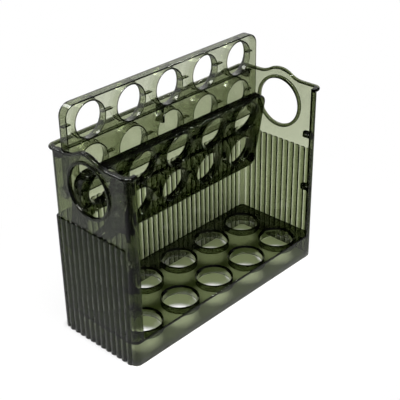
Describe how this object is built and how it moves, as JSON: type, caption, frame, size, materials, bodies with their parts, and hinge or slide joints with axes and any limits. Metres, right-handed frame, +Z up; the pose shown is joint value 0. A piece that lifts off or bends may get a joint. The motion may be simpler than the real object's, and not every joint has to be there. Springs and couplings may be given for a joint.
{
  "type": "egg storage rack",
  "caption": "Clear smoke-green egg rack: open-fronted case with reeded walls and finger holes, egg holes in its floor, and egg trays that hinge up against the back.",
  "frame": {"origin": "on the table, under the middle of the case", "axes": "+X along the rack to the right as seen from its open front, +Y to the back wall, +Z up"},
  "size_m": [0.2708, 0.1066, 0.2385],
  "materials": {
    "smoke_plastic": "clear, polished, smoke-green tint"
  },
  "bodies": {
    "rack": {"back_wall": "smoke_plastic", "left_end_wall": "smoke_plastic", "right_end_wall": "smoke_plastic", "front_skirt": "smoke_plastic", "egg_floor": "smoke_plastic", "floor_collars": "smoke_plastic", "left_upper_rest": "smoke_plastic", "left_lower_rest": "smoke_plastic", "right_upper_rest": "smoke_plastic", "right_lower_rest": "smoke_plastic", "left_stop": "smoke_plastic", "right_stop": "smoke_plastic", "back_stop": "smoke_plastic"},
    "middle_tray": {"middle_tray_plate": "smoke_plastic", "middle_tray_collars": "smoke_plastic", "middle_tray_frame": "smoke_plastic", "middle_tray_ribs": "smoke_plastic", "middle_tray_left_pin": "smoke_plastic", "middle_tray_right_pin": "smoke_plastic"},
    "top_tray": {"top_tray_plate": "smoke_plastic", "top_tray_collars": "smoke_plastic", "top_tray_frame": "smoke_plastic", "top_tray_ribs": "smoke_plastic", "top_tray_left_pin": "smoke_plastic", "top_tray_right_pin": "smoke_plastic"}
  },
  "joints": [
    {"name": "middle_tray_hinge", "type": "hinge", "parent": "rack", "child": "middle_tray", "pos_m": [0, 0.03615, 0.0925], "axis": [1, 0, 0], "range_deg": [0, 79.23]},
    {"name": "top_tray_hinge", "type": "hinge", "parent": "rack", "child": "top_tray", "pos_m": [0, 0.03615, 0.1535], "axis": [1, 0, 0], "range_deg": [0, 89.6]}
  ],
  "couplings": [
    {"joint": "top_tray_hinge", "follows": "middle_tray_hinge", "ratio": 1.1309}
  ]
}
